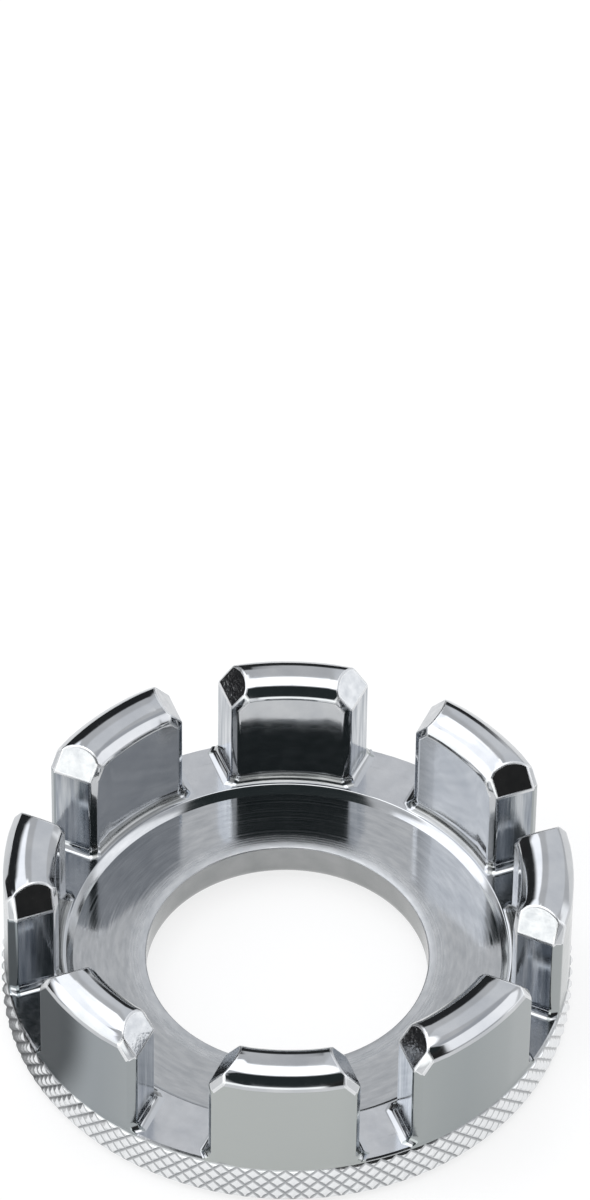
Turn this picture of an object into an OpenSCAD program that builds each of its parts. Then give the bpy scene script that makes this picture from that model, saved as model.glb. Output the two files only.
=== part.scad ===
// Crown spoke wrench: a flat ring with a knurled rim and eight jaws, whose gaps grip spoke nipples.
// The ring lies on its flat face at z = 0 with the jaws pointing up, and its axis is the Z axis.

/* [Rim] */
// Diameter over the tips of the knurl
rim_d = 36; // [32:0.5:44]
// Height of the rim, from the flat face up to the floors of the slots
rim_h = 3.3; // [2.8:0.1:5]
// Radial width of the rim band, measured in from the grooves of the knurl
rim_w = 1.4; // [1:0.1:2.4]
// Bevel between the knurl and the flat face
rim_face_bevel = 0.3; // [0.1:0.05:0.5]
// Bevel between the knurl and the slot floors
rim_slot_bevel = 0.2; // [0.1:0.05:0.5]

/* [Knurl] */
// Depth of the knurl, from its tips to its grooves
knurl_depth = 0.2; // [0.1:0.02:0.4]
// Distance between the diamonds of one row, measured round the rim
knurl_pitch = 1; // [0.8:0.1:2]
// Height of half a diamond
knurl_row_h = 0.56; // [0.4:0.02:1]

/* [Disc] */
// Diameter of the bore
bore_d = 17.8; // [12:0.2:20]
// Rounding of the bore at the flat face
bore_round = 1.1; // [0.4:0.1:1.4]
// Chamfer of the bore at the turned floor
bore_chamfer = 0.2; // [0.1:0.05:0.6]
// Depth of the turned floor below the slot floors
recess_h = 0.45; // [0.2:0.05:0.8]

/* [Jaws] */
// Height of the whole wrench, from the flat face to the crests of the jaws
tool_h = 11.6; // [9:0.1:16]
// Radial thickness of the jaws
jaw_t = 3.3; // [2.4:0.1:4]
// Chamfer round the foot of the jaws, at their inner faces and their two ends
jaw_foot = 0.4; // [0.2:0.05:0.5]
// Width of the ledge between the inner faces of the jaws and the edge of the turned floor
ledge_w = 0.55; // [0.5:0.05:1]
// Rise of the domed crest above the inner and outer faces of the jaws
crest_rise = 0.75; // [0.4:0.05:1]
// Drop of the bevel at the outer edge of the crest, below the end of the dome
crest_bevel_out = 0.1; // [0.05:0.05:0.3]
// Drop of the bevel at the inner edge of the crest, below the end of the dome
crest_bevel_in = 0.1; // [0.05:0.05:0.3]
// Bevel of the upright edges at the ends of the jaws
jaw_edge_bevel = 0.4; // [0.1:0.05:0.5]

/* [Slots] */
// Width of the first slot, counted from the X axis towards the Y axis
slot_1_w = 3.5; // [3:0.05:6]
// Width of the second slot
slot_2_w = 4.4; // [3:0.05:6]
// Width of the third slot
slot_3_w = 3.3; // [3:0.05:6]
// Width of the fourth slot
slot_4_w = 4; // [3:0.05:6]
// Width of the fifth slot
slot_5_w = 5.1; // [3:0.05:6]
// Width of the sixth slot
slot_6_w = 4.8; // [3:0.05:6]
// Width of the seventh slot
slot_7_w = 3.4; // [3:0.05:6]
// Width of the eighth slot
slot_8_w = 3.9; // [3:0.05:6]
// Width of the chamfer that leads a nipple into a slot, at the crests of the jaws
slot_lead_w = 1.25; // [0.5:0.05:1.6]
// Height of that chamfer, down from the crests
slot_lead_h = 1.65; // [0.8:0.05:2.2]

/* [Hidden] */
$fn = 96;

// Overrun of every cutter past the surface that it cuts
overrun = 0.5;

// Radii, from the knurl inwards
rim_r = rim_d / 2;
groove_r = rim_r - knurl_depth;
disc_r = groove_r - rim_w;
jaw_out_r = groove_r;
jaw_in_r = jaw_out_r - jaw_t;
jaw_mid_r = jaw_out_r - jaw_t / 2;
ledge_r = jaw_in_r - ledge_w;
bore_r = bore_d / 2;

// Heights
disc_h = rim_h - recess_h;
crest_edge_z = tool_h - crest_rise;

// The dome of the crest is an arc through its two edges and its top
dome_r = (jaw_t * jaw_t / 4 + crest_rise * crest_rise) / (2 * crest_rise);

// The slots stand half way between the jaws, and the first jaw is on the X axis
slot_ws = [slot_1_w, slot_2_w, slot_3_w, slot_4_w, slot_5_w, slot_6_w, slot_7_w, slot_8_w];
jaw_n = len(slot_ws);
jaw_pitch_angle = 360 / jaw_n;
function slot_angle(i) = (i - 1 / 2) * jaw_pitch_angle;
function slot_w(i) = slot_ws[(i + jaw_n - 1) % jaw_n];

// The knurl has a whole number of rows, and as many diamonds in each quarter turn
knurl_n = 4 * round(PI * rim_d / knurl_pitch / 4);
knurl_rows = max(1, round((rim_h - rim_face_bevel - rim_slot_bevel) / knurl_row_h));
knurl_step_h = (rim_h - rim_face_bevel - rim_slot_bevel) / knurl_rows;
ring_n = 2 * knurl_n;
ring_angle = 360 / ring_n;

// Grooves cross where ring and row are both even or both odd, and diamonds rise to their tips between
function is_groove(row, k) = (row + k) % 2 == 0;
function knurl_r(row, k) = is_groove(row, k) ? groove_r : rim_r;
function ring_point(r, z, k) = [r * cos(k * ring_angle), r * sin(k * ring_angle), z];

// The flats of the inner wall touch the round disc inside it
rim_in_r = disc_r / cos(ring_angle / 2);

// Rings of points that go once round the section of the rim: under it, up the knurl and back inside
rim_rings = concat(
    [[for (k = [0 : ring_n - 1]) ring_point(rim_in_r, 0, k)]],
    [[for (k = [0 : ring_n - 1]) ring_point(groove_r - rim_face_bevel, 0, k)]],
    [for (row = [0 : knurl_rows])
        [for (k = [0 : ring_n - 1])
            ring_point(knurl_r(row, k), rim_face_bevel + row * knurl_step_h, k)]],
    [[for (k = [0 : ring_n - 1]) ring_point(groove_r, rim_h, k)]],
    [[for (k = [0 : ring_n - 1]) ring_point(rim_in_r, rim_h, k)]]
);
rim_ring_n = len(rim_rings);

function rim_id(ring, k) = (ring % rim_ring_n) * ring_n + k % ring_n;

// The two triangles between a ring and the next one, split along the groove where there is one
function rim_pair(ring, k) = is_groove(ring, k)
    ? [[rim_id(ring, k), rim_id(ring + 1, k + 1), rim_id(ring, k + 1)],
       [rim_id(ring, k), rim_id(ring + 1, k), rim_id(ring + 1, k + 1)]]
    : [[rim_id(ring, k), rim_id(ring + 1, k), rim_id(ring, k + 1)],
       [rim_id(ring, k + 1), rim_id(ring + 1, k), rim_id(ring + 1, k + 1)]];

// Flat annular disc with the bore, which is rounded at the face and chamfered at the turned floor
module face_disc() {
    color("lightgray")
    rotate_extrude()
    difference() {
        polygon([
            [bore_r, 0],
            [disc_r, 0],
            [disc_r, disc_h],
            [bore_r + bore_chamfer, disc_h],
            [bore_r, disc_h - bore_chamfer]
        ]);
        difference() {
            translate([bore_r - overrun, -overrun])
            square([bore_round + overrun, bore_round + overrun]);
            translate([bore_r + bore_round, bore_round])
            circle(bore_round);
            translate([bore_r + bore_round, -overrun])
            square([overrun, bore_round + overrun]);
        }
    }
}

// Rim band with the diamond knurl
module knurled_rim() {
    color("gainsboro")
    polyhedron(
        points = [for (ring = rim_rings) for (p = ring) p],
        faces = [for (ring = [0 : rim_ring_n - 1]) for (k = [0 : ring_n - 1]) for (f = rim_pair(ring, k)) f]
    );
}

// Ring that the jaws stand on, level with the slot floors and bevelled down to the turned floor
module jaw_seat() {
    color("silver")
    rotate_extrude()
    polygon([
        [ledge_r - recess_h, disc_h],
        [disc_r, disc_h],
        [disc_r, rim_h],
        [ledge_r, rim_h]
    ]);
}

// Section of the crown of jaws: upright faces, inner foot, bevelled edges and a domed crest
module crown_section() {
    difference() {
        polygon([
            [jaw_in_r - jaw_foot, rim_h],
            [jaw_out_r, rim_h],
            [jaw_out_r, crest_edge_z - crest_bevel_out],
            [jaw_out_r - crest_bevel_out - crest_rise, tool_h],
            [jaw_in_r + crest_bevel_in + crest_rise, tool_h],
            [jaw_in_r, crest_edge_z - crest_bevel_in],
            [jaw_in_r, rim_h + jaw_foot]
        ]);
        difference() {
            translate([jaw_in_r - overrun, crest_edge_z])
            square([jaw_t + 2 * overrun, crest_rise + overrun]);
            translate([jaw_mid_r, tool_h - dome_r])
            circle(dome_r);
        }
    }
}

// Section of a slot of width w: its floor between the feet, upright walls and lead-in chamfers
module slot_section(w) {
    lead_overrun = overrun * slot_lead_w / slot_lead_h;
    polygon([
        [w / 2 - jaw_foot - overrun, rim_h - overrun],
        [w / 2, rim_h + jaw_foot],
        [w / 2, tool_h - slot_lead_h],
        [w / 2 + slot_lead_w + lead_overrun, tool_h + overrun],
        [-w / 2 - slot_lead_w - lead_overrun, tool_h + overrun],
        [-w / 2, tool_h - slot_lead_h],
        [-w / 2, rim_h + jaw_foot],
        [jaw_foot + overrun - w / 2, rim_h - overrun]
    ]);
}

// Cutter for one upright edge of a jaw, whose new face stands on the origin and faces along X
module edge_cut() {
    reach = jaw_edge_bevel + jaw_foot + overrun;
    translate([0, -reach, rim_h - overrun])
    cube([reach, 2 * reach, tool_h - rim_h + 2 * overrun]);
}

// Everything that slot number i cuts out of the crown
module slot_cut(i) {
    w = slot_w(i);
    edge_y = (w + jaw_edge_bevel) / 2;
    out_x = sqrt(jaw_out_r * jaw_out_r - w * w / 4) - jaw_edge_bevel / 2;
    in_x = sqrt(jaw_in_r * jaw_in_r - w * w / 4) + jaw_edge_bevel / 2;
    rotate([0, 0, slot_angle(i)]) {
        translate([bore_r, 0, 0])
        rotate([90, 0, 90])
        linear_extrude(height = rim_r - bore_r + overrun)
        slot_section(w);
        for (side = [-1, 1]) {
            translate([out_x, side * edge_y, 0])
            rotate([0, 0, -45 * side])
            edge_cut();
            translate([in_x, side * edge_y, 0])
            rotate([0, 0, 180 + 45 * side])
            edge_cut();
        }
    }
}

// Jaw number i, which is the crown between the slot before it and the slot after it
module jaw(i) {
    color("lightsteelblue")
    difference() {
        rotate([0, 0, slot_angle(i - 1)])
        rotate_extrude(angle = jaw_pitch_angle)
        crown_section();
        slot_cut(i - 1);
        slot_cut(i);
    }
}

face_disc();
knurled_rim();
jaw_seat();
jaw(1);  // jaw_1
jaw(2);  // jaw_2
jaw(3);  // jaw_3
jaw(4);  // jaw_4
jaw(5);  // jaw_5
jaw(6);  // jaw_6
jaw(7);  // jaw_7
jaw(8);  // jaw_8
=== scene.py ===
# %% [markdown]
# # Crown spoke wrench
#
# A chrome-plated ring with eight jaws that stand up like the teeth of a crown. The gaps between
# the jaws have different widths, and each fits one size of spoke nipple. The whole tool is one
# piece of steel: turned, slotted, knurled round its rim, polished and plated. Here it is made
# again region by region, in metres, in the frame of the CAD model.

# %% Load the frame
import math

import bpy
from mathutils import Matrix, Vector


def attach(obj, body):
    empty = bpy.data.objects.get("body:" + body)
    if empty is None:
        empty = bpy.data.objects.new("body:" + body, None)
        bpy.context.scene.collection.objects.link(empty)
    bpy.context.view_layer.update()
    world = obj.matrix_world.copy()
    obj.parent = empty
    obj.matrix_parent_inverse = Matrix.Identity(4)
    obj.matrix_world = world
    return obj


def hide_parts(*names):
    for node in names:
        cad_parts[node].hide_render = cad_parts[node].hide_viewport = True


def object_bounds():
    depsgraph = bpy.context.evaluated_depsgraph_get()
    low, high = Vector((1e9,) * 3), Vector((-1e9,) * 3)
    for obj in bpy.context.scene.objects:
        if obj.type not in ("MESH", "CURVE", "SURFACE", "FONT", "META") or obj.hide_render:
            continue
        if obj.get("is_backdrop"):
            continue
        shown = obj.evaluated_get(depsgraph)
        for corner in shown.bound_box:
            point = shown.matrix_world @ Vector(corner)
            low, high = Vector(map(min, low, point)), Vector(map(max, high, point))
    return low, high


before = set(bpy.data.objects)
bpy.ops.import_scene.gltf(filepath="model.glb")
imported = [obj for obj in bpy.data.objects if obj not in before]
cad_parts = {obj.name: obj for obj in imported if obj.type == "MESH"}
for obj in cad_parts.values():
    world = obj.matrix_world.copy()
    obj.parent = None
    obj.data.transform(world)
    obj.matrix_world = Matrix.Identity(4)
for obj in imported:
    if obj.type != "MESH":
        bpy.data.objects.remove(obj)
cad_low, cad_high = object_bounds()
MM = 0.001


def in_mm(lengths):
    """Lengths in millimetres, rounded to be printed."""
    return [round(length / MM, 2) for length in lengths]


print("CAD box in mm:", in_mm(cad_low), in_mm(cad_high))

# %% [markdown]
# ## Camera
#
# A long lens looks down at the wrench at about fifty degrees, so the far jaws are hardly smaller
# than the near ones. The wrench lies in the lower half of a tall frame. A shifted lens could put
# it there, but the camera is aimed above it instead, so that the same camera can be moved round
# it.

# %% Camera
IMAGE_W, IMAGE_H = 590, 1200
FOCAL_PX = 8531
VIEW_HEIGHT = math.radians(49.49)
VIEW_TURN = math.radians(1.32)
VIEW_ROLL = math.radians(0.84)
VIEW_DISTANCE = 0.540
AIM_PX = (286.85, 983.06)
SENSOR_MM = 36
NEAR_CLIP = 0.01

view = Vector((
    -math.sin(VIEW_TURN) * math.cos(VIEW_HEIGHT),
    math.cos(VIEW_TURN) * math.cos(VIEW_HEIGHT),
    -math.sin(VIEW_HEIGHT)))
right = Vector((math.cos(VIEW_TURN), math.sin(VIEW_TURN), 0))
up = right.cross(view)
look = Matrix((right, up, -view)).transposed()
raise_angle = math.atan((AIM_PX[1] - IMAGE_H / 2) / FOCAL_PX)
swing_angle = math.atan((AIM_PX[0] - IMAGE_W / 2) / FOCAL_PX)
look = (look @ Matrix.Rotation(VIEW_ROLL, 3, "Z") @ Matrix.Rotation(raise_angle, 3, "X")
        @ Matrix.Rotation(swing_angle, 3, "Y"))
bpy.ops.object.camera_add(location=-view * VIEW_DISTANCE, rotation=look.to_euler())
camera = bpy.context.object
camera.name = "camera"
camera.data.sensor_width = SENSOR_MM
camera.data.lens = FOCAL_PX * SENSOR_MM / IMAGE_H
camera.data.clip_start = NEAR_CLIP
bpy.context.scene.camera = camera
print("lens in mm:", round(camera.data.lens, 1))

# %% [markdown]
# ## Nodes
#
# The sheet under the wrench, the studio and every finish are node trees. They could be wired node
# by node, but a few functions for the nodes that they share let a tree read like a sum: links,
# numbers or vectors go in, and one link comes out.

# %% Helpers for nodes
NUMBER_RESULTS = ("DISTANCE", "DOT_PRODUCT", "LENGTH")
RANGE_INPUTS = ("Value", "From Min", "From Max", "To Min", "To Max")


def feed(tree, sockets, values):
    """Link each socket to its value, or set it where the value is a number or a vector."""
    for socket, value in zip(sockets, values):
        if isinstance(value, bpy.types.NodeSocket):
            tree.links.new(value, socket)
        else:
            socket.default_value = value


def add_math(tree, operation, *values):
    """Add a Math node."""
    node = tree.nodes.new("ShaderNodeMath")
    node.operation = operation
    feed(tree, node.inputs, values)
    return node.outputs["Value"]


def add_vector(tree, operation, *values):
    """Add a Vector Math node, which gives a number for some operations."""
    node = tree.nodes.new("ShaderNodeVectorMath")
    node.operation = operation
    feed(tree, node.inputs, values)
    return node.outputs["Value" if operation in NUMBER_RESULTS else "Vector"]


def add_range(tree, value, start, end, low=0.0, high=1.0, smooth=False):
    """Add a Map Range node: from low to high, while a value goes from start to end."""
    node = tree.nodes.new("ShaderNodeMapRange")
    if smooth:
        node.interpolation_type = "SMOOTHSTEP"
    feed(tree, [node.inputs[name] for name in RANGE_INPUTS], (value, start, end, low, high))
    return node.outputs["Result"]


# %% [markdown]
# ## Floor
#
# The wrench lies on a plain white sheet that fills the whole frame, and its own soft contact
# shadow is the only mark on it. More lamps could make the sheet white, but they would light the
# chrome too, so the sheet glows for the camera and in mirrors instead. Beside the left front of
# the wrench the glow is left out in mirrors alone: painted shade seen only in reflections, so
# that the outer face of the jaw above it has something dark to show.

# %% Floor
FLOOR_SIZE = 6
FLOOR_DROP = 0.02 * MM
FLOOR_COLOUR = (0.30, 0.30, 0.30)
FLOOR_ROUGHNESS = 0.9
FLOOR_SPECULAR = 0.1
FLOOR_GLOW = 0.74
MIRROR_SHADE_PLACE = (-20.5 * MM, -5.5 * MM, 0)
MIRROR_SHADE_R = 5.3 * MM
MIRROR_SHADE_SOFT = 4.0 * MM

bpy.ops.object.select_all(action="DESELECT")
bpy.ops.mesh.primitive_plane_add(size=FLOOR_SIZE, location=(0, 0, -FLOOR_DROP))
floor = bpy.context.object
floor.name = "floor"
floor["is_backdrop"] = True

floor_paint = bpy.data.materials.new("white_sheet")
floor_paint.use_nodes = True
sheet = floor_paint.node_tree
floor_shader = sheet.nodes["Principled BSDF"]
floor_shader.inputs["Base Color"].default_value = (*FLOOR_COLOUR, 1)
floor_shader.inputs["Roughness"].default_value = FLOOR_ROUGHNESS
floor_shader.inputs["Specular IOR Level"].default_value = FLOOR_SPECULAR
floor_shader.inputs["Emission Color"].default_value = (1, 1, 1, 1)
spot = sheet.nodes.new("ShaderNodeTexCoord").outputs["Object"]
# Painted shade seen only in reflections: a round patch beside the left front where glossy rays get
# no glow
from_mirror_shade = add_vector(sheet, "DISTANCE", spot, MIRROR_SHADE_PLACE)
off_mirror_shade = add_range(sheet, from_mirror_shade, MIRROR_SHADE_R, MIRROR_SHADE_R + MIRROR_SHADE_SOFT, smooth=True)
rays = sheet.nodes.new("ShaderNodeLightPath").outputs
seen = add_math(sheet, "MULTIPLY", rays["Is Glossy Ray"], off_mirror_shade)
for name in ("Is Camera Ray", "Is Transmission Ray"):
    seen = add_math(sheet, "MAXIMUM", seen, rays[name])
glow = add_math(sheet, "MULTIPLY", seen, FLOOR_GLOW)
sheet.links.new(glow, floor_shader.inputs["Emission Strength"])
floor.data.materials.append(floor_paint)
print("floor:", FLOOR_SIZE, "m square, mirror shade radius in mm:", *in_mm([MIRROR_SHADE_R]))

# %% [markdown]
# ## Studio
#
# Chrome has hardly any colour of its own: it shows the room. The room here is a soft white tent
# with a big softbox overhead, more at both sides, a bright strip low in front, and dark gaps at
# the back left and round the camera. Lamps and boards could stand there one by one, but zones of
# the sky are easier to move and leave no hard shadow. Each zone has a bearing from the back of the
# stage, a height above the horizon and a reach both ways, and it lies over the zones before it.

# %% Studio
# Bearing and height of the middle, reach both ways, soft edge (all in degrees), then brightness
STUDIO_BASE = (0.72, 0.73, 0.75)
STUDIO_ZONES = (
    ((0, 90), (180, 19), 8, (2.3, 2.3, 2.32)),
    ((-58, 66), (48, 11), 5, (2.2, 2.22, 2.26)),
    ((-65, 49), (46, 11.5), 5, (1.7, 1.73, 1.8)),
    ((-102, 28), (26, 12), 5, (2.0, 2.02, 2.1)),
    ((102, 29), (26, 11), 6, (1.5, 1.51, 1.55)),
    ((92, 50), (28, 8), 5, (0.58, 0.60, 0.64)),
    ((33, 42), (29, 28), 9, (0.92, 0.94, 0.98)),
    ((78, 4), (20, 10), 6, (1.45, 1.47, 1.5)),
    ((-35, 14), (31, 20), 5, (0.03, 0.032, 0.034)),
    ((-72, 2), (18, 12), 4, (0.03, 0.03, 0.032)),
    ((4, 7), (14, 12), 5, (0.03, 0.032, 0.034)),
    ((172, 49), (48, 16), 6, (0.03, 0.038, 0.04)),
    ((-150, 14), (48, 12), 8, (1.8, 1.82, 1.8)),
    ((142, 22), (20, 14), 6, (0.03, 0.03, 0.03)),
)
# Places of the colour sockets among those of a Mix node
MIX_A, MIX_B, MIX_RESULT = 6, 7, 2

world = bpy.data.worlds.new("studio")
bpy.context.scene.world = world
world.use_nodes = True
studio = world.node_tree
way = studio.nodes.new("ShaderNodeTexCoord").outputs["Generated"]


def along(axis):
    """How far a direction points along an axis."""
    return add_vector(studio, "DOT_PRODUCT", way, axis)


def inside(angle, reach, soft):
    """One where an angle from the middle is within reach, falling softly to nothing."""
    return add_range(studio, add_math(studio, "ABSOLUTE", angle), math.radians(reach + soft / 2),
                     math.radians(reach - soft / 2), smooth=True)


height = add_math(studio, "ARCSINE", along((0, 0, 1)))
light = (*STUDIO_BASE, 1)
for (bearing, middle), (reach, rise), soft, colour in STUDIO_ZONES:
    turn = math.radians(bearing)
    ahead = along((math.sin(turn), math.cos(turn), 0))
    aside = along((math.cos(turn), -math.sin(turn), 0))
    across = inside(add_math(studio, "ARCTAN2", aside, ahead), reach, soft)
    upward = inside(add_math(studio, "SUBTRACT", height, math.radians(middle)), rise, soft)
    mix = studio.nodes.new("ShaderNodeMix")
    mix.data_type = "RGBA"
    feed(studio, (mix.inputs["Factor"], mix.inputs[MIX_A], mix.inputs[MIX_B]),
         (add_math(studio, "MULTIPLY", across, upward), light, (*colour, 1)))
    light = mix.outputs[MIX_RESULT]
studio.links.new(light, studio.nodes["Background"].inputs["Color"])
bpy.context.scene.view_settings.view_transform = "Standard"
print("studio zones:", len(STUDIO_ZONES))

# %% [markdown]
# ## Measures
#
# The main radii and heights of the wrench, as in the CAD model, and the widths of its slots. The
# box of each CAD node could give some of them, but one name for each keeps the steps below easy to
# read. Jaw 1 is on the X axis, and slot 1 follows it towards the Y axis.

# %% Measures
GROOVE_R = 17.8 * MM
DISC_R = 16.4 * MM
JAW_OUT_R = GROOVE_R
JAW_IN_R = 14.5 * MM
LEDGE_R = 13.95 * MM
BORE_R = 8.9 * MM
RIM_H = 3.3 * MM
DISC_H = 2.85 * MM
TOOL_H = 11.6 * MM
SLOT_WIDTHS = [w * MM for w in (3.5, 4.4, 3.3, 4.0, 5.1, 4.8, 3.4, 3.9)]
JAW_PITCH = 2 * math.pi / len(SLOT_WIDTHS)
print("slots in mm:", in_mm(SLOT_WIDTHS))

# %% [markdown]
# ## Chrome
#
# Bright chrome is a hard, faintly blue mirror. Every finish below is this metal with its own
# roughness, tone and relief. Pictures could be wrapped round the pieces, but a noise of the place
# in the metal needs no unwrapping, and runs on from one piece to the next.

# %% Helpers for chrome
CHROME = (0.52, 0.53, 0.545)
# Nearly all of a noise lies between these two values
NOISE_LOW, NOISE_HIGH = 0.3, 0.7


def new_chrome(name, colour=CHROME):
    """A metal with its tree, its shader and the place in the object."""
    material = bpy.data.materials.new(name)
    material.use_nodes = True
    tree = material.node_tree
    shader = tree.nodes["Principled BSDF"]
    shader.inputs["Base Color"].default_value = (*colour, 1)
    shader.inputs["Metallic"].default_value = 1
    place = tree.nodes.new("ShaderNodeTexCoord").outputs["Object"]
    return material, tree, shader, place


def grain(tree, vector, scale=1.0, detail=2.0, stretch=None):
    """A noise, which may have its own scale along each axis."""
    if stretch:
        mapping = tree.nodes.new("ShaderNodeMapping")
        feed(tree, (mapping.inputs["Vector"], mapping.inputs["Scale"]), (vector, stretch))
        vector = mapping.outputs["Vector"]
    noise = tree.nodes.new("ShaderNodeTexNoise")
    names = ("Vector", "Scale", "Detail")
    feed(tree, [noise.inputs[name] for name in names], (vector, scale, detail))
    return noise.outputs["Fac"]


def roughen(tree, shader, value, low, high, added=None):
    """A roughness that wanders between two values with a noise, and is raised by what is added."""
    roughness = add_range(tree, value, NOISE_LOW, NOISE_HIGH, low, high)
    if added is not None:
        roughness = add_math(tree, "ADD", roughness, added)
    tree.links.new(roughness, shader.inputs["Roughness"])


def tint(tree, shader, value, low, high):
    """A base colour that wanders between two greys."""
    ramp = tree.nodes.new("ShaderNodeValToRGB")
    for stop, position, colour in zip(
            ramp.color_ramp.elements, (NOISE_LOW, NOISE_HIGH), (low, high)):
        stop.position = position
        stop.color = (*colour, 1)
    tree.links.new(value, ramp.inputs["Fac"])
    tree.links.new(ramp.outputs["Color"], shader.inputs["Base Color"])


def relief(tree, shader, value, depth):
    """A fine relief of a real depth in metres."""
    bump = tree.nodes.new("ShaderNodeBump")
    bump.inputs["Distance"].default_value = depth
    tree.links.new(value, bump.inputs["Height"])
    tree.links.new(bump.outputs["Normal"], shader.inputs["Normal"])


# %% [markdown]
# The jaws are polished, with slight waves and a fine haze that the polishing wheel leaves. Their
# outer faces are less so: fine level lines of the lathe stay under the plating. Their colour is
# painted shade, set by a ramp along X: darkest at the left of the wrench, lighter in the middle
# and darker again at the right.

# %% Polished jaws and outer faces
polished, tree, shader, place = new_chrome("polished_chrome")
roughen(tree, shader, grain(tree, place, scale=1400, detail=3), low=0.04, high=0.11)
tint(tree, shader, grain(tree, place, scale=500, detail=4),
     low=(0.47, 0.485, 0.505), high=(0.56, 0.57, 0.58))
relief(tree, shader, grain(tree, place, scale=420), depth=0.006 * MM)

# Painted shade on the outer faces, at shares of the way from the left to the right
PAINTED_SHADE_R = 18 * MM
PAINTED_SHADE_STOPS = (
    (0.02, (0.27, 0.30, 0.315)), (0.18, (0.27, 0.295, 0.31)), (0.38, (0.41, 0.43, 0.42)),
    (0.60, (0.41, 0.43, 0.42)), (0.82, (0.30, 0.325, 0.33)), (0.98, (0.34, 0.36, 0.36)))
outer, tree, shader, place = new_chrome("outer_chrome")
lathe_lines = grain(tree, place, detail=3, stretch=(500, 500, 9000))
roughen(tree, shader, lathe_lines, low=0.10, high=0.20)
axes = tree.nodes.new("ShaderNodeSeparateXYZ")
tree.links.new(place, axes.inputs["Vector"])
painted_shade_ramp = tree.nodes.new("ShaderNodeValToRGB")
stops = painted_shade_ramp.color_ramp.elements
for position, colour in PAINTED_SHADE_STOPS:
    stops.new(position).color = (*colour, 1)
stops.remove(stops[0])
stops.remove(stops[-1])
tree.links.new(add_range(tree, axes.outputs["X"], -PAINTED_SHADE_R, PAINTED_SHADE_R), painted_shade_ramp.inputs["Fac"])
tree.links.new(painted_shade_ramp.outputs["Color"], shader.inputs["Base Color"])
relief(tree, shader, lathe_lines, depth=0.001 * MM)
print("materials:", polished.name, outer.name)

# %% [markdown]
# The facets that lead a nipple into its slot are ground, and their plating shows a fine grain. The
# walls of the slots keep upright streaks of the cutter. Plain noise gives the grain, and noise
# that changes slowly along Z gives the streaks.

# %% Ground facets and milled walls
grained, tree, shader, place = new_chrome("grained_chrome")
speckle = grain(tree, place, scale=3800, detail=4)
roughen(tree, shader, speckle, low=0.03, high=0.08)
tint(tree, shader, grain(tree, place, scale=1500, detail=4),
     low=(0.44, 0.455, 0.475), high=(0.60, 0.61, 0.62))
relief(tree, shader, speckle, depth=0.005 * MM)

milled, tree, shader, place = new_chrome("milled_chrome")
streaks = grain(tree, place, detail=3, stretch=(2200, 2200, 160))
roughen(tree, shader, streaks, low=0.06, high=0.20)
tint(tree, shader, streaks, low=(0.22, 0.25, 0.29), high=(0.62, 0.64, 0.66))
relief(tree, shader, streaks, depth=0.008 * MM)
print("materials:", grained.name, milled.name)

# %% [markdown]
# The turned floor has one fine groove beside another, all round the axis. Rings in the mesh could
# be as fine only with very many faces, so a noise of the distance from the axis makes them, and
# streaks round the axis break up their tone. Near the bore the floor is duller.

# %% Turned floor
BORE_HAZE = 0.26
BORE_HAZE_W = 1.5 * MM


def flat_place(tree, vector):
    """A place without its height."""
    return add_vector(tree, "MULTIPLY", vector, (1, 1, 0))


def axis_distance(tree, vector):
    """The distance of a place from the Z axis."""
    return add_vector(tree, "LENGTH", flat_place(tree, vector))


def ring_noise(tree, vector, scale, detail):
    """A noise that changes only with the distance from the Z axis."""
    noise = tree.nodes.new("ShaderNodeTexNoise")
    noise.noise_dimensions = "1D"
    names = ("W", "Scale", "Detail")
    feed(tree, [noise.inputs[name] for name in names], (axis_distance(tree, vector), scale, detail))
    return noise.outputs["Fac"]


def ring_streaks(tree, vector, around, across):
    """A noise stretched round the Z axis: features per radian, and per metre of radius."""
    bearing = add_vector(tree, "NORMALIZE", flat_place(tree, vector))
    wide = add_vector(tree, "MULTIPLY", bearing, (around, around, around))
    lift = tree.nodes.new("ShaderNodeCombineXYZ")
    height = add_math(tree, "MULTIPLY", axis_distance(tree, vector), across)
    tree.links.new(height, lift.inputs["Z"])
    return grain(tree, add_vector(tree, "ADD", wide, lift.outputs["Vector"]), detail=4)


turned, tree, shader, place = new_chrome("turned_chrome")
rings = ring_noise(tree, place, scale=7000, detail=3)
bore_haze = add_range(
    tree, axis_distance(tree, place), BORE_R, BORE_R + BORE_HAZE_W, low=BORE_HAZE, high=0)
roughen(tree, shader, rings, low=0.06, high=0.17, added=bore_haze)
tint(tree, shader, ring_streaks(tree, place, around=9, across=3200),
     low=(0.45, 0.465, 0.48), high=(0.57, 0.58, 0.59))
relief(tree, shader, rings, depth=0.0009 * MM)
print("material:", turned.name)

# %% [markdown]
# The flat face is brushed one way, which leaves fine lines side by side, and the figures in it are
# matt. The colour of the knurl follows the distance from the axis: a painted highlight on its tips
# and painted shade in its grooves.

# %% Satin face, figures and knurl
GROOVE_DEPTH = 0.1 * MM

satin, tree, shader, place = new_chrome("satin_chrome", colour=(0.62, 0.63, 0.64))
brushed = grain(tree, place, detail=3, stretch=(9000, 260, 260))
roughen(tree, shader, brushed, low=0.24, high=0.38)
relief(tree, shader, brushed, depth=0.003 * MM)

marked, tree, shader, place = new_chrome("marked_chrome", colour=(0.72, 0.72, 0.72))
roughen(tree, shader, grain(tree, place, scale=9000), low=0.5, high=0.7)

knurled, tree, shader, place = new_chrome("knurled_chrome")
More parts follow.
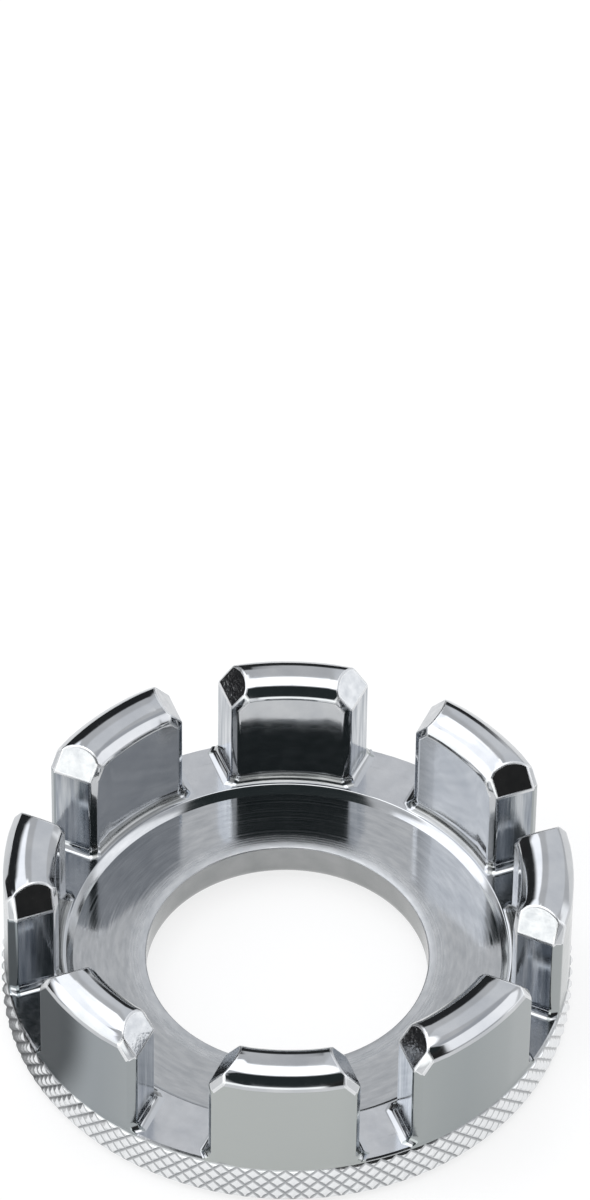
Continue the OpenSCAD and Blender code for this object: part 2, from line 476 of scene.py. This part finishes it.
# Painted highlight on the tips of the knurl, painted shade in its grooves
knurl_light_and_shade = add_range(tree, axis_distance(tree, place), GROOVE_R, GROOVE_R + GROOVE_DEPTH)
tint(tree, shader, knurl_light_and_shade, low=(0.40, 0.41, 0.42), high=(0.78, 0.79, 0.80))
roughen(tree, shader, grain(tree, place, scale=2500), low=0.10, high=0.22)
relief(tree, shader, grain(tree, place, scale=5000), depth=0.006 * MM)
print("materials:", satin.name, marked.name, knurled.name)

# %% [markdown]
# The rounded edges of the jaws are pale and soft: rougher than the faces, and paler, which is a
# painted highlight. The floors of the slots are evenly bright. The bore and the inner feet of the
# jaws are duller and darker: rougher, with painted shade. All three are plain enough for one or two
# noises.

# %% Pale rough edges, slot floors and shaded bore
# Rougher than the faces, and paler: a painted highlight along the rounded edges
highlit_rough_edge, tree, shader, place = new_chrome("highlit_rough_edge_chrome", colour=(0.72, 0.73, 0.74))
roughen(tree, shader, grain(tree, place, scale=3000), low=0.26, high=0.38)

slotted, tree, shader, place = new_chrome("slotted_chrome")
roughen(tree, shader, grain(tree, place, scale=1800), low=0.10, high=0.20)
tint(tree, shader, grain(tree, place, scale=700, detail=4),
     low=(0.57, 0.585, 0.61), high=(0.66, 0.67, 0.69))

# Rougher, and darker with painted shade, for the bore and the inner feet of the jaws
rough_shaded_bore, tree, shader, place = new_chrome("rough_shaded_bore_chrome")
roughen(tree, shader, grain(tree, place, detail=3, stretch=(900, 900, 7000)), low=0.12, high=0.26)
tint(tree, shader, grain(tree, place, scale=500, detail=4),
     low=(0.29, 0.30, 0.30), high=(0.36, 0.365, 0.365))
print("materials:", highlit_rough_edge.name, slotted.name, rough_shaded_bore.name)

# %% [markdown]
# ## Drawing and turning
#
# Most of the wrench is turned on a lathe, so most pieces start as a section: one vertex, extruded
# from point to point, with some corners rounded before the section is spun about the axis. Tubes
# and cones could be joined instead, but a section shows every radius and height at once.

# %% Helpers for selecting
# A place this near to another, or to a height, is on it
NEAR = 0.001 * MM


def activate(piece):
    """Make a piece the only one that is selected."""
    bpy.ops.object.select_all(action="DESELECT")
    piece.select_set(True)
    bpy.context.view_layer.objects.active = piece


def name_piece(piece, name):
    """Name a piece and its mesh."""
    piece.name = name
    piece.data.name = name


def start_picking(kind):
    """Deselect all in edit mode, and go to object mode, where code can select."""
    bpy.ops.object.mode_set(mode="EDIT")
    bpy.ops.mesh.select_mode(type=kind)
    bpy.ops.mesh.select_all(action="DESELECT")
    bpy.ops.object.mode_set(mode="OBJECT")


def pick_vertices(piece, test):
    """Select the vertices of a piece whose place passes a test, and return to edit mode."""
    start_picking("VERT")
    for vertex in piece.data.vertices:
        vertex.select = test(vertex.co)
    bpy.ops.object.mode_set(mode="EDIT")


def pick_edges(piece, test):
    """Select the edges of a piece that pass a test, and return to edit mode."""
    start_picking("EDGE")
    for edge in piece.data.edges:
        edge.select = test(edge)
    bpy.ops.object.mode_set(mode="EDIT")


def pick_faces(piece, test):
    """Select the faces of a piece that pass a test, and return to edit mode."""
    start_picking("FACE")
    for face in piece.data.polygons:
        face.select = test(face)
    bpy.ops.object.mode_set(mode="EDIT")


# %% Helpers for sections
# Corners this near are one when a section is drawn or cut, and when a piece is finished
SNAP = 0.0001 * MM
MERGE = 0.0005 * MM


def draw_section(name, points):
    """Draw a closed line of points (radius, height) in the XZ plane, and stay in edit mode."""
    bpy.ops.object.select_all(action="DESELECT")
    bpy.ops.mesh.primitive_plane_add(size=MM)
    piece = bpy.context.object
    name_piece(piece, name)
    bpy.ops.object.mode_set(mode="EDIT")
    bpy.ops.mesh.select_mode(type="VERT")
    bpy.ops.mesh.select_all(action="SELECT")
    bpy.ops.mesh.merge(type="CENTER")
    bpy.ops.transform.translate(value=(points[0][0], 0, points[0][1]))
    for start, end in zip(points, points[1:] + points[:1]):
        step = (end[0] - start[0], 0, end[1] - start[1])
        bpy.ops.mesh.extrude_region_move(TRANSFORM_OT_translate={"value": step})
    bpy.ops.mesh.select_all(action="SELECT")
    bpy.ops.mesh.remove_doubles(threshold=SNAP)
    return piece


def round_corner(piece, corner, radius, segments):
    """Round one corner of a section."""
    spot = Vector((corner[0], 0, corner[1]))
    pick_vertices(piece, lambda place: (place - spot).length < NEAR)
    bpy.ops.mesh.bevel(offset=radius, segments=segments, affect="VERTICES")


def spin(angle, steps):
    """Spin what is selected about the Z axis, from X towards Y."""
    bpy.ops.mesh.spin(steps=steps, angle=angle, center=(0, 0, 0), axis=(0, 0, -1))


# %% Helpers for finished pieces
SMOOTH_ANGLE = 30
FULL_WEIGHT = 100


def close_up(piece, smooth_angle=SMOOTH_ANGLE):
    """Merge doubles, turn all normals outwards, go back to object mode and shade the piece."""
    bpy.ops.object.mode_set(mode="EDIT")
    bpy.ops.mesh.select_all(action="SELECT")
    bpy.ops.mesh.remove_doubles(threshold=MERGE)
    bpy.ops.mesh.normals_make_consistent(inside=False)
    bpy.ops.mesh.select_all(action="DESELECT")
    bpy.ops.object.mode_set(mode="OBJECT")
    bpy.ops.object.shade_smooth_by_angle(angle=math.radians(smooth_angle))


def flatten(piece):
    """Let large faces set the normals, so that a flat mirror beside a rounded edge stays flat."""
    weigh = piece.modifiers.new("weigh", "WEIGHTED_NORMAL")
    weigh.weight = FULL_WEIGHT
    weigh.keep_sharp = True
    bpy.ops.object.modifier_apply(modifier=weigh.name)


def dress(piece, *finishes):
    """Give a piece the finishes that it needs. The first one is on all its faces."""
    for finish in finishes:
        piece.data.materials.append(finish)


def slot_of(piece, finish):
    """The number of a finish among those of a piece."""
    return piece.data.materials.find(finish.name)


def report(piece):
    """Print the size of a piece."""
    places = [vertex.co for vertex in piece.data.vertices]
    low = in_mm(min(place[axis] for place in places) for axis in range(3))
    high = in_mm(max(place[axis] for place in places) for axis in range(3))
    print(piece.name, "faces:", len(piece.data.polygons), "from", low, "to", high)


# %% [markdown]
# ## Disc
#
# The disc is a flat ring. Its flat face is brushed satin and carries the slot sizes, and the bore
# is well rounded on that side so that it is kind to a finger. The other side is the turned floor
# of the crown, which slopes very slightly into the bore. One section, spun all the way round,
# gives it all.

# %% Disc
TURN_STEPS = 160
BORE_ROUND = 1.1 * MM
SLOPE_RUN, SLOPE_DROP, SLOPE_ROUND = 0.8 * MM, 0.035 * MM, 0.3 * MM
LIP_RUN, LIP_DROP, LIP_ROUND = 0.07 * MM, 0.1 * MM, 0.03 * MM
FACES_DOWN = -0.7
FACES_UP = 0.3

bore_edge = (BORE_R, 0)
slope_start = (BORE_R + SLOPE_RUN, DISC_H)
slope_end = (BORE_R + LIP_RUN, DISC_H - SLOPE_DROP)
wall_top = (BORE_R, DISC_H - LIP_DROP)
disc = draw_section("disc", [
    bore_edge, (DISC_R, 0), (DISC_R, DISC_H), slope_start, slope_end, wall_top])
round_corner(disc, bore_edge, BORE_ROUND, segments=12)
round_corner(disc, slope_start, SLOPE_ROUND, segments=4)
round_corner(disc, slope_end, LIP_ROUND, segments=2)
round_corner(disc, wall_top, LIP_ROUND, segments=2)
bpy.ops.mesh.select_all(action="SELECT")
spin(2 * math.pi, TURN_STEPS)
close_up(disc)
dress(disc, turned, satin, marked, rough_shaded_bore)
for face in disc.data.polygons:
    if face.normal.z < FACES_DOWN:
        face.material_index = slot_of(disc, satin)
    # The bore: rougher, with painted shade
    elif face.center.xy.length < BORE_R + BORE_ROUND and face.normal.z < FACES_UP:
        face.material_index = slot_of(disc, rough_shaded_bore)
report(disc)

# %% [markdown]
# Four of the slots are named by their width in millimetres, engraved in the satin face with the
# tops of the figures towards the rim. A bump could only look like a cut, so each figure is text
# that becomes a mesh and is really cut out of the face.

# %% Figures on the face
MARKED_SLOTS = (1, 2, 3, 4)
MARK_R = 14.6 * MM
MARK_SIZE = 2.3 * MM
MARK_DEPTH = 0.06 * MM

for number in MARKED_SLOTS:
    angle = (number - 0.5) * JAW_PITCH
    bpy.ops.object.select_all(action="DESELECT")
    bpy.ops.object.text_add()
    mark = bpy.context.object
    mark.data.body = f"{SLOT_WIDTHS[number - 1] / MM:.1f}"
    mark.data.size = MARK_SIZE
    mark.data.extrude = MARK_DEPTH
    mark.data.align_x = "CENTER"
    mark.data.align_y = "CENTER"
    bpy.ops.object.convert(target="MESH")
    mark = bpy.context.object
    outward = Vector((math.cos(angle), math.sin(angle), 0))
    along_rim = Vector((-math.sin(angle), math.cos(angle), 0))
    mark.rotation_euler = Matrix((along_rim, outward, (0, 0, -1))).transposed().to_euler()
    mark.location = outward * MARK_R
    bpy.ops.object.transform_apply(location=True, rotation=True, scale=True)
    dress(mark, marked)
    activate(disc)
    engrave = disc.modifiers.new("engrave", "BOOLEAN")
    engrave.operation = "DIFFERENCE"
    engrave.solver = "EXACT"
    engrave.material_mode = "TRANSFER"
    engrave.object = mark
    bpy.ops.object.modifier_apply(modifier=engrave.name)
    bpy.data.objects.remove(mark)
flatten(disc)
report(disc)

# %% [markdown]
# ## Seat
#
# The jaws stand on a narrow ring, level with the floors of the slots, and its inner edge is
# bevelled down to the turned floor. It could be part of the disc, but its top has the finish of the
# slots, so it is a spun section of its own. The small rounding above the bevel catches the light
# as a fine bright ring.

# %% Seat
SEAT_ROUND = 0.05 * MM

seat_top = (LEDGE_R, RIM_H)
seat_foot = (LEDGE_R - (RIM_H - DISC_H), DISC_H)
seat = draw_section("seat", [seat_foot, (DISC_R, DISC_H), (DISC_R, RIM_H), seat_top])
round_corner(seat, seat_top, SEAT_ROUND, segments=2)
bpy.ops.mesh.select_all(action="SELECT")
spin(2 * math.pi, TURN_STEPS)
close_up(seat)
flatten(seat)
dress(seat, turned, slotted)
for face in seat.data.polygons:
    if face.center.z > RIM_H - NEAR:
        face.material_index = slot_of(seat, slotted)
report(seat)

# %% [markdown]
# ## Knurled rim
#
# A knurling wheel presses two sets of slanting grooves into the rim, and leaves small blunt
# pyramids. A bump could show them from the front, but not along the outline, so here they are
# real. The band starts as a ring of upright quads, and poking puts a vertex in the middle of each.

# %% Knurled rim
KNURL_N = 112
KNURL_LOW = 0.3 * MM
KNURL_HIGH = 3.1 * MM
DIAMOND_H = 1.12 * MM
ROWS = 3

bpy.ops.object.select_all(action="DESELECT")
bpy.ops.mesh.primitive_circle_add(vertices=KNURL_N, radius=GROOVE_R, location=(0, 0, KNURL_LOW))
rim = bpy.context.object
name_piece(rim, "rim")
bpy.ops.object.transform_apply(location=True, rotation=False, scale=False)
bpy.ops.object.mode_set(mode="EDIT")
bpy.ops.mesh.select_all(action="SELECT")
for _ in range(ROWS):
    bpy.ops.mesh.extrude_region_move(TRANSFORM_OT_translate={"value": (0, 0, DIAMOND_H)})
bpy.ops.mesh.select_all(action="SELECT")
bpy.ops.mesh.normals_make_consistent(inside=False)
bpy.ops.mesh.poke()
print("quads poked:", ROWS * KNURL_N)

# %% [markdown]
# Once the quads' own edges are dissolved, diamonds are left between the new vertices. The band is
# cut to its height, and each diamond is inset and lifted to a blunt tip, lower where the cut left
# half.

# %% Diamonds
TIP_INSET, TIP_RISE = 0.27 * MM, 0.19 * MM
HALF_TIP_INSET, HALF_TIP_RISE = 0.15 * MM, 0.11 * MM
# A slack for heights and radii that were worked out in several steps
CLOSE = 0.01 * MM
UPRIGHT_SHARE = 0.9


def is_old_edge(edge):
    """True for an edge of the first grid: upright, or level on a row line inside the band."""
    start, end = (rim.data.vertices[index].co.z for index in edge.vertices)
    upright = abs(start - end) > UPRIGHT_SHARE * DIAMOND_H
    level = abs(start - end) < CLOSE
    inner = KNURL_LOW + CLOSE < start < KNURL_LOW + ROWS * DIAMOND_H - CLOSE
    return upright or (level and inner)


pick_edges(rim, is_old_edge)
bpy.ops.mesh.dissolve_edges(use_verts=False)
bpy.ops.mesh.select_all(action="SELECT")
bpy.ops.mesh.bisect(
    plane_co=(0, 0, KNURL_HIGH), plane_no=(0, 0, 1), clear_outer=True, threshold=NEAR)
bpy.ops.object.mode_set(mode="OBJECT")
for corners, inset, rise in ((4, TIP_INSET, TIP_RISE), (3, HALF_TIP_INSET, HALF_TIP_RISE)):
    pick_faces(rim, lambda face: len(face.vertices) == corners)
    bpy.ops.mesh.inset(thickness=inset, depth=rise, use_individual=True, use_boundary=True)
    bpy.ops.object.mode_set(mode="OBJECT")
report(rim)

# %% [markdown]
# Below the knurl a bevel runs down to the flat face, and above it a narrow smooth band and a small
# bevel lead to the floors of the slots. The open edges of the band are extruded over them step by
# step. Both sides end at the disc, and the two inner edges are bridged there.

# %% Sides of the rim
RIM_FACE_BEVEL = 0.3 * MM
RIM_SLOT_BEVEL = 0.1 * MM
RIM_SMOOTH_ANGLE = 25


def ring_step(rise, start_r, end_r):
    """Extrude the selected ring of edges up or down, and draw it in or out."""
    bpy.ops.mesh.extrude_region_move(TRANSFORM_OT_translate={"value": (0, 0, rise)})
    bpy.ops.transform.resize(
        value=(end_r / start_r, end_r / start_r, 1), center_override=(0, 0, 0))


pick_vertices(rim, lambda place: place.z < KNURL_LOW + NEAR)
ring_step(-KNURL_LOW, GROOVE_R, GROOVE_R - RIM_FACE_BEVEL)
ring_step(0, GROOVE_R - RIM_FACE_BEVEL, DISC_R)
pick_vertices(rim, lambda place: place.z > KNURL_HIGH - NEAR)
ring_step(RIM_H - KNURL_HIGH - RIM_SLOT_BEVEL, GROOVE_R, GROOVE_R)
ring_step(RIM_SLOT_BEVEL, GROOVE_R, GROOVE_R - RIM_SLOT_BEVEL)
ring_step(0, GROOVE_R - RIM_SLOT_BEVEL, DISC_R)
pick_vertices(rim, lambda place: place.xy.length < DISC_R + CLOSE)
bpy.ops.mesh.bridge_edge_loops()
close_up(rim, RIM_SMOOTH_ANGLE)
flatten(rim)
dress(rim, knurled, slotted, satin)
for face in rim.data.polygons:
    if face.center.z > RIM_H - NEAR:
        face.material_index = slot_of(rim, slotted)
    elif face.center.z < NEAR:
        face.material_index = slot_of(rim, satin)
report(rim)

# %% [markdown]
# ## Jaws
#
# The crown is turned first, with a domed crest between two bevels, and the slots are then milled
# through it. Eight jaws could be shaped from boxes, but their crests would not be parts of one
# ring. So each jaw starts as the section of the crown, spun through its own arc, and is cut by the
# planes of its two slots.

# %% Section of the crown
FOOT = 0.6 * MM
CREST_RISE = 0.75 * MM
CREST_BEVEL = 0.1 * MM
EDGE_CURVE, BEVEL_CURVE = 0.2 * MM, 0.1 * MM
DOME_STEPS = 14
HALF_T = (JAW_OUT_R - JAW_IN_R) / 2
DOME_R = (HALF_T ** 2 + CREST_RISE ** 2) / (2 * CREST_RISE)
DOME_X = JAW_IN_R + HALF_T
DOME_Z = TOOL_H - DOME_R

edge_z = TOOL_H - CREST_RISE - CREST_BEVEL
# A bevel of 45 degrees keeps the sum of run and height, and ends where that sum fits the dome
bevel_sum = HALF_T + edge_z - DOME_Z
dome_half = (bevel_sum - math.sqrt(2 * DOME_R ** 2 - bevel_sum ** 2)) / 2
dome_angle = math.asin(dome_half / DOME_R)
dome = []
for step in range(DOME_STEPS + 1):
    angle = dome_angle * (1 - 2 * step / DOME_STEPS)
    dome.append((DOME_X + DOME_R * math.sin(angle), DOME_Z + DOME_R * math.cos(angle)))
out_edge = (JAW_OUT_R, edge_z)
in_edge = (JAW_IN_R, edge_z)
section = draw_section("jaw_section", [
    (JAW_IN_R, RIM_H + FOOT), (JAW_OUT_R, RIM_H + FOOT), out_edge, *dome, in_edge])
round_corner(section, out_edge, EDGE_CURVE, segments=5)
round_corner(section, in_edge, EDGE_CURVE, segments=5)
round_corner(section, dome[0], BEVEL_CURVE, segments=2)
round_corner(section, dome[-1], BEVEL_CURVE, segments=2)
bpy.ops.mesh.select_all(action="SELECT")
bpy.ops.mesh.edge_face_add()
bpy.ops.object.mode_set(mode="OBJECT")
print("dome radius in mm:", *in_mm([DOME_R]), "half angle:", round(math.degrees(dome_angle), 1))
report(section)

# %% [markdown]
# Each end of a jaw is cut by the wall of the slot, the facet that leads a nipple in, and a bevel
# at each upright edge, with a small one beside the facet. A boolean with a cutter could do it, but
# planes leave cleaner faces. They are easiest to write beside the slot's own middle line, and
# every plane keeps the side on which the jaw stands.

# %% Helpers for the ends of jaws
LEAD_W = 1.25 * MM
LEAD_H = 1.65 * MM
EDGE_OUT, EDGE_IN = 0.52 * MM, 0.30 * MM
CORNER_SHARE = 0.3
OVERRUN = 0.05 * MM
ARC_STEPS = 8


def half_arcs(width):
    """Angles from the middle of a jaw: clear of a slot's cuts, and just past its wall."""
    clear = JAW_PITCH / 2 - math.asin((width / 2 + LEAD_W + EDGE_IN) / JAW_IN_R)
    past = JAW_PITCH / 2 - math.asin((width / 2 - OVERRUN) / JAW_OUT_R)
    return clear, past


def spin_jaw(name, low_w, high_w):
    """Spin a copy of the section from slot to slot, across the X axis, and stay in edit mode."""
    low_clear, low_past = half_arcs(low_w)
    high_clear, high_past = half_arcs(high_w)
    activate(section)
    bpy.ops.object.duplicate(linked=False)
    jaw = bpy.context.object
    name_piece(jaw, name)
    jaw.rotation_euler = (0, 0, -low_past)
    bpy.ops.object.transform_apply(location=False, rotation=True, scale=False)
    bpy.ops.object.mode_set(mode="EDIT")
    bpy.ops.mesh.select_mode(type="FACE")
    bpy.ops.mesh.select_all(action="SELECT")
    spin(low_past - low_clear, 1)
    spin(low_clear + high_clear, ARC_STEPS)
    spin(high_past - high_clear, 1)
    bpy.ops.mesh.select_all(action="SELECT")
    bpy.ops.mesh.normals_make_consistent(inside=False)
    return jaw


def cut(point, normal):
    """Cut the piece in edit mode by a plane, and keep the side that the normal points to."""
    bpy.ops.mesh.select_all(action="SELECT")
    bpy.ops.mesh.bisect(plane_co=point, plane_no=normal.normalized(), use_fill=True,
                        clear_inner=True, threshold=SNAP)


def cut_end(side, width):
    """Cut one end of a jaw on the X axis, by the slot at its low (-1) or high (1) side."""
    angle = side * JAW_PITCH / 2
    out = Vector((math.cos(angle), math.sin(angle), 0))
    inward = Vector((-math.sin(angle), math.cos(angle), 0)) * -side
    lift = Vector((0, 0, 1))
    wall = inward * width / 2
    lead = (lift * LEAD_W - inward * LEAD_H).normalized()
    lead_foot = lift * (TOOL_H - LEAD_H)
    cut(wall, inward)
    cut(wall + lead_foot, -lead)
    corner_w = width / 2 + CORNER_SHARE * LEAD_W
    for radius, way_out, bevel in ((JAW_OUT_R, 1, EDGE_OUT), (JAW_IN_R, -1, EDGE_IN)):
        edge = wall + out * (math.sqrt(radius ** 2 - width ** 2 / 4) - way_out * bevel)
        cut(edge, inward - out * way_out)
        corner = inward * corner_w + out * math.sqrt(radius ** 2 - corner_w ** 2)
        cut(edge + lead_foot, -lead - corner.normalized() * way_out)
    return inward


# %% [markdown]
# The milling cutter leaves a hollow fillet round the foot of each jaw. A bevel between jaw and
# seat would need them to be one mesh, so the foot grows out of the bottom face in a few steps,
# wider each time, and a little into the seat. Where it would stand out over the rim, it is
# trimmed.

# %% Helpers for the feet of jaws
FOOT_STEPS = 8
FOOT_IN = 0.48 * MM
FOOT_SINK = 0.2 * MM
BOTTOM_FACES_DOWN = -0.9


def grow_foot(piece):
    """Extrude the bottom of a jaw down to the seat in a hollow curve, then a little into it."""
    deep = JAW_OUT_R - JAW_IN_R
    widths = [vertex.co.y for vertex in piece.data.vertices]
    half = (max(widths) - min(widths)) / 2
    pick_faces(piece, lambda face: face.normal.z < BOTTOM_FACES_DOWN
               and face.center.z < RIM_H + FOOT + NEAR)
    grown, sunk = 0.0, 0.0
    for step in range(1, FOOT_STEPS + 1):
        turn = math.pi / 2 * step / FOOT_STEPS
        wider, lower = 1 - math.cos(turn), FOOT * math.sin(turn)
        bpy.ops.mesh.extrude_region_move(TRANSFORM_OT_translate={"value": (0, 0, sunk - lower)})
        bpy.ops.transform.resize(
            value=((deep + FOOT_IN * wider) / (deep + FOOT_IN * grown),
                   (half + FOOT * wider) / (half + FOOT * grown), 1),
            center_override=(JAW_OUT_R, 0, 0))
        grown, sunk = wider, lower
    bpy.ops.mesh.extrude_region_move(TRANSFORM_OT_translate={"value": (0, 0, -FOOT_SINK)})


def trim_foot(side, width):
    """Trim the foot at one end by an upright plane, where it would stand out over the rim."""
    half_flare = FOOT / 2 / JAW_OUT_R
    angle = side * (JAW_PITCH / 2 - math.asin(width / 2 / JAW_OUT_R) + half_flare)
    outward = Vector((math.cos(angle), math.sin(angle), 0))
    cut(outward * JAW_OUT_R * math.cos(half_flare), -outward)


# %% [markdown]
# The finish of a face follows from the way it points: milled on the walls of the slots, lathe
# lines outside, grain on the facets, and rougher inside the foot, with painted shade. The edges are
# broken, and rougher and paler, with a painted highlight. A bevel by angle alone would also round
# every ring of the foot, so the edges are picked in code, and only those round the crest keep the
# pale, rough finish.

# %% Helpers for the finish of jaws
EDGE_ROUND = 0.12 * MM
EDGE_SEGMENTS = 3
SHARP = math.radians(28)
SUNK_EDGE = 0.02 * MM
LEAD_Z = LEAD_W / math.hypot(LEAD_W, LEAD_H)
# How nearly a face points along a direction, from 1 for along it to -1 for against it
FACES_SLOT, LEANS_TO_SLOT = -0.99, -0.75
FACES_OUT, FACES_IN = 0.5, -0.2
TILT_SLACK = 0.01


def coat_jaw(jaw, walls):
    """Give the faces of a jaw their finishes, from the inward normals of its two slot walls."""
    dress(jaw, polished, milled, outer, highlit_rough_edge, rough_shaded_bore, grained)
    for face in jaw.data.polygons:
        outward = face.normal.dot(Vector((face.center.x, face.center.y, 0)).normalized())
        to_slot = min(face.normal.dot(wall) for wall in walls)
        in_foot = face.center.z < RIM_H + FOOT
        if to_slot < FACES_SLOT:
            face.material_index = slot_of(jaw, milled)
        elif outward > FACES_OUT and (abs(face.normal.z) < TILT_SLACK or in_foot):
            face.material_index = slot_of(jaw, outer)
        elif abs(face.normal.z - LEAD_Z) < TILT_SLACK and to_slot < LEANS_TO_SLOT:
            face.material_index = slot_of(jaw, grained)
        # The inner feet: rougher, with painted shade
        elif outward < FACES_IN and in_foot and face.center.z > RIM_H:
            face.material_index = slot_of(jaw, rough_shaded_bore)


def pick_edges_to_round(jaw):
    """Select the sharp edges of a jaw. Down the foot, only its upright corners count."""
    beside = {}
    for face in jaw.data.polygons:
        side = face.normal.copy()
        if face.center.z < RIM_H + FOOT:
            side.z = 0
        for key in face.edge_keys:
            beside.setdefault(key, []).append(side)

    def is_sharp(edge):
        """True for an edge between faces that turn sharply, above the seat."""
        one, other = beside[edge.key]
        top = max(jaw.data.vertices[index].co.z for index in edge.vertices)
        return one.angle(other, 0) > SHARP and top > RIM_H + SUNK_EDGE

    pick_edges(jaw, is_sharp)


def round_edges(jaw):
    """Round the sharp edges of a jaw, and keep the pale finish with its painted highlight only
    round the crest.
    """
    pick_edges_to_round(jaw)
    highlit_rough_slot = slot_of(jaw, highlit_rough_edge)
    bpy.ops.mesh.bevel(offset=EDGE_ROUND, segments=EDGE_SEGMENTS, affect="EDGES",
                       clamp_overlap=False, material=highlit_rough_slot)
    bpy.ops.object.mode_set(mode="OBJECT")
    for face in jaw.data.polygons:
        if face.material_index == highlit_rough_slot and face.center.z < TOOL_H - LEAD_H - EDGE_ROUND:
            finish = outer if face.center.xy.length > DOME_X else polished
            face.material_index = slot_of(jaw, finish)


# %% [markdown]
# With these helpers, each jaw is spun, cut, footed, finished and rounded while it stands on the X
# axis, where every step is easy to write. Then it is turned to its own place, and the turn is
# applied.

# %% Jaws
jaws = []
for number in range(1, len(SLOT_WIDTHS) + 1):
    low_w, high_w = SLOT_WIDTHS[number - 2], SLOT_WIDTHS[number - 1]
    jaw = spin_jaw(f"jaw_{number}_chrome", low_w, high_w)
    walls = [cut_end(-1, low_w), cut_end(1, high_w)]
    bpy.ops.object.mode_set(mode="OBJECT")
    grow_foot(jaw)
    trim_foot(-1, low_w)
    trim_foot(1, high_w)
    bpy.ops.object.mode_set(mode="OBJECT")
    coat_jaw(jaw, walls)
    round_edges(jaw)
    jaw.rotation_euler = (0, 0, (number - 1) * JAW_PITCH)
    bpy.ops.object.transform_apply(location=False, rotation=True, scale=False)
    close_up(jaw)
    flatten(jaw)
    jaws.append(jaw)
    report(jaw)
bpy.data.objects.remove(section)

# %% [markdown]
# ## Frame
#
# Every region stands for one node of the CAD model, which is hidden. The wrench is one body, so
# everything rides on the root. The boxes of both models are written down, because the looks must
# not change the size.

# %% Ride and replace
for piece, node, slot in (
        (disc, "face_disc", "turned_chrome"),
        (rim, "knurled_rim", "knurled_chrome"),
        (seat, "jaw_seat", "turned_chrome"),
        *((jaw, f"jaw_{number}", "polished_chrome") for number, jaw in enumerate(jaws, 1))):
    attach(piece, "root")
    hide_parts(node)
bpy.context.view_layer.update()
model_low, model_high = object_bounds()
print("model box in mm:", in_mm(model_low), in_mm(model_high))
